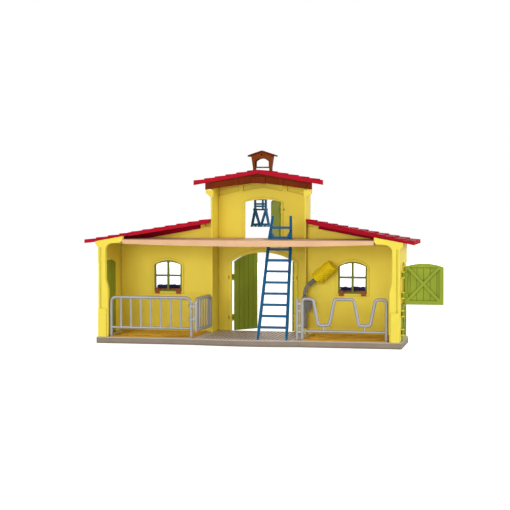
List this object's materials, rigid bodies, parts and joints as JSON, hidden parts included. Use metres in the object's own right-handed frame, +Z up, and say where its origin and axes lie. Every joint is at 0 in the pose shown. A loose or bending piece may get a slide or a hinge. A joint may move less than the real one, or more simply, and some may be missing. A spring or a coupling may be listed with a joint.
{
  "type": "toy barn",
  "caption": "Open-fronted toy barn with a raised middle tower, lean-to wings with stable doors, loft with ladder, pen and feed railings, cattle brush and hay grab on a swinging arm.",
  "frame": {"origin": "on the table under the middle of the ground plan, at the underside of the aisle base", "axes": "+X to the right seen from the open play side, +Y to the rear with the main doors, +Z up"},
  "size_m": [0.5659, 0.2298, 0.3086],
  "materials": {
    "base_grey": "fine satin grain",
    "straw_ochre": "fine satin grain",
    "wall_yellow": "fine satin grain",
    "roof_red": "satin",
    "timber_brown": "fine satin grain",
    "cupola_brown": "fine satin grain",
    "loft_tan": "fine satin grain",
    "window_green": "fine satin grain",
    "door_green": "fine satin grain",
    "box_terracotta": "fine satin grain",
    "bloom_violet": "fine satin grain",
    "hoist_blue": "satin",
    "rail_grey": "satin",
    "brush_grey": "fine satin grain",
    "brush_yellow": "fine satin grain"
  },
  "bodies": {
    "building": {"base_centre": "base_grey", "base_left": "base_grey", "base_right": "base_grey", "straw_floor_left": "straw_ochre", "straw_floor_right": "straw_ochre", "rear_wall_left": "wall_yellow", "rear_wall_right": "wall_yellow", "side_wall_left": "wall_yellow", "side_wall_right": "wall_yellow", "front_post_left": "wall_yellow", "front_post_right": "wall_yellow", "tower_side_wall_left": "wall_yellow", "tower_side_wall_right": "wall_yellow", "tower_rear_wall": "wall_yellow", "wing_roof_left": "roof_red", "wing_roof_right": "roof_red", "tower_roof": "roof_red", "gable_board": "timber_brown", "ridge_beam": "timber_brown", "cupola_body": "cupola_brown", "cupola_roof": "cupola_brown", "loft_floor": "loft_tan", "window_left": "window_green", "window_right": "window_green", "flower_box_left": "box_terracotta", "flower_box_right": "box_terracotta", "flowers_left": "bloom_violet", "flowers_right": "bloom_violet", "ladder": "hoist_blue", "hoist_bracket": "hoist_blue", "pen_railing": "rail_grey", "feed_railing": "rail_grey", "brush_post": "brush_grey", "brush_arm": "brush_grey"},
    "left_main_leaf": {"main_door_left": "door_green"},
    "right_main_leaf": {"main_door_right": "door_green"},
    "loft_leaf": {"loft_door": "door_green"},
    "left_upper_leaf": {"left_upper_door": "door_green"},
    "left_lower_leaf": {"left_lower_door": "door_green"},
    "right_upper_leaf": {"right_upper_door": "door_green"},
    "right_lower_leaf": {"right_lower_door": "door_green"},
    "gate": {"pen_gate": "rail_grey"},
    "roller": {"brush_roller": "brush_yellow"},
    "hoist": {"hoist_jib": "hoist_blue", "grab_head": "hoist_blue"},
    "left_jaw": {"grab_jaw_left": "hoist_blue"},
    "right_jaw": {"grab_jaw_right": "hoist_blue"}
  },
  "joints": [
    {"name": "main_door_left_hinge", "type": "hinge", "parent": "building", "child": "left_main_leaf", "pos_m": [-0.0526, 0.07345, 0.065], "axis": [0, 0, 1], "range_deg": [-55, 50]},
    {"name": "main_door_right_hinge", "type": "hinge", "parent": "building", "child": "right_main_leaf", "pos_m": [0.0526, 0.07345, 0.065], "axis": [0, 0, 1], "range_deg": [-10, 105]},
    {"name": "loft_door_hinge", "type": "hinge", "parent": "building", "child": "loft_leaf", "pos_m": [0.0303, 0.07345, 0.194], "axis": [0, 0, 1], "range_deg": [-43, 67]},
    {"name": "left_upper_hinge", "type": "hinge", "parent": "building", "child": "left_upper_leaf", "pos_m": [-0.2427, -0.04825, 0.097], "axis": [0, 0, 1], "range_deg": [0, 110]},
    {"name": "left_lower_hinge", "type": "hinge", "parent": "building", "child": "left_lower_leaf", "pos_m": [-0.2427, -0.04825, 0.038], "axis": [0, 0, 1], "range_deg": [0, 110]},
    {"name": "right_upper_hinge", "type": "hinge", "parent": "building", "child": "right_upper_leaf", "pos_m": [0.2427, -0.04825, 0.097], "axis": [0, 0, 1], "range_deg": [-20, 90]},
    {"name": "right_lower_hinge", "type": "hinge", "parent": "building", "child": "right_lower_leaf", "pos_m": [0.2427, -0.04825, 0.038], "axis": [0, 0, 1], "range_deg": [-110, 0]},
    {"name": "gate_hinge", "type": "hinge", "parent": "building", "child": "gate", "pos_m": [-0.0896, -0.06275, 0.05], "axis": [0, 0, 1], "range_deg": [-97, 3]},
    {"name": "brush_spin", "type": "hinge", "parent": "building", "child": "roller", "pos_m": [0.095, 0.02295, 0.1], "axis": [0.7664, 0, 0.6424], "continuous": true},
    {"name": "hoist_swivel", "type": "hinge", "parent": "building", "child": "hoist", "pos_m": [0, 0.07675, 0.2405], "axis": [0, 0, 1], "range_deg": [-16, 38]},
    {"name": "jaw_left_hinge", "type": "hinge", "parent": "hoist", "child": "left_jaw", "pos_m": [-0.02794, 0.14006, 0.211], "axis": [0, 1, 0], "range_deg": [0, 20]},
    {"name": "jaw_right_hinge", "type": "hinge", "parent": "hoist", "child": "right_jaw", "pos_m": [-0.00933, 0.14006, 0.211], "axis": [0, 1, 0], "range_deg": [-20, 0]}
  ],
  "couplings": [
    {"joint": "jaw_right_hinge", "follows": "jaw_left_hinge", "ratio": -1}
  ]
}
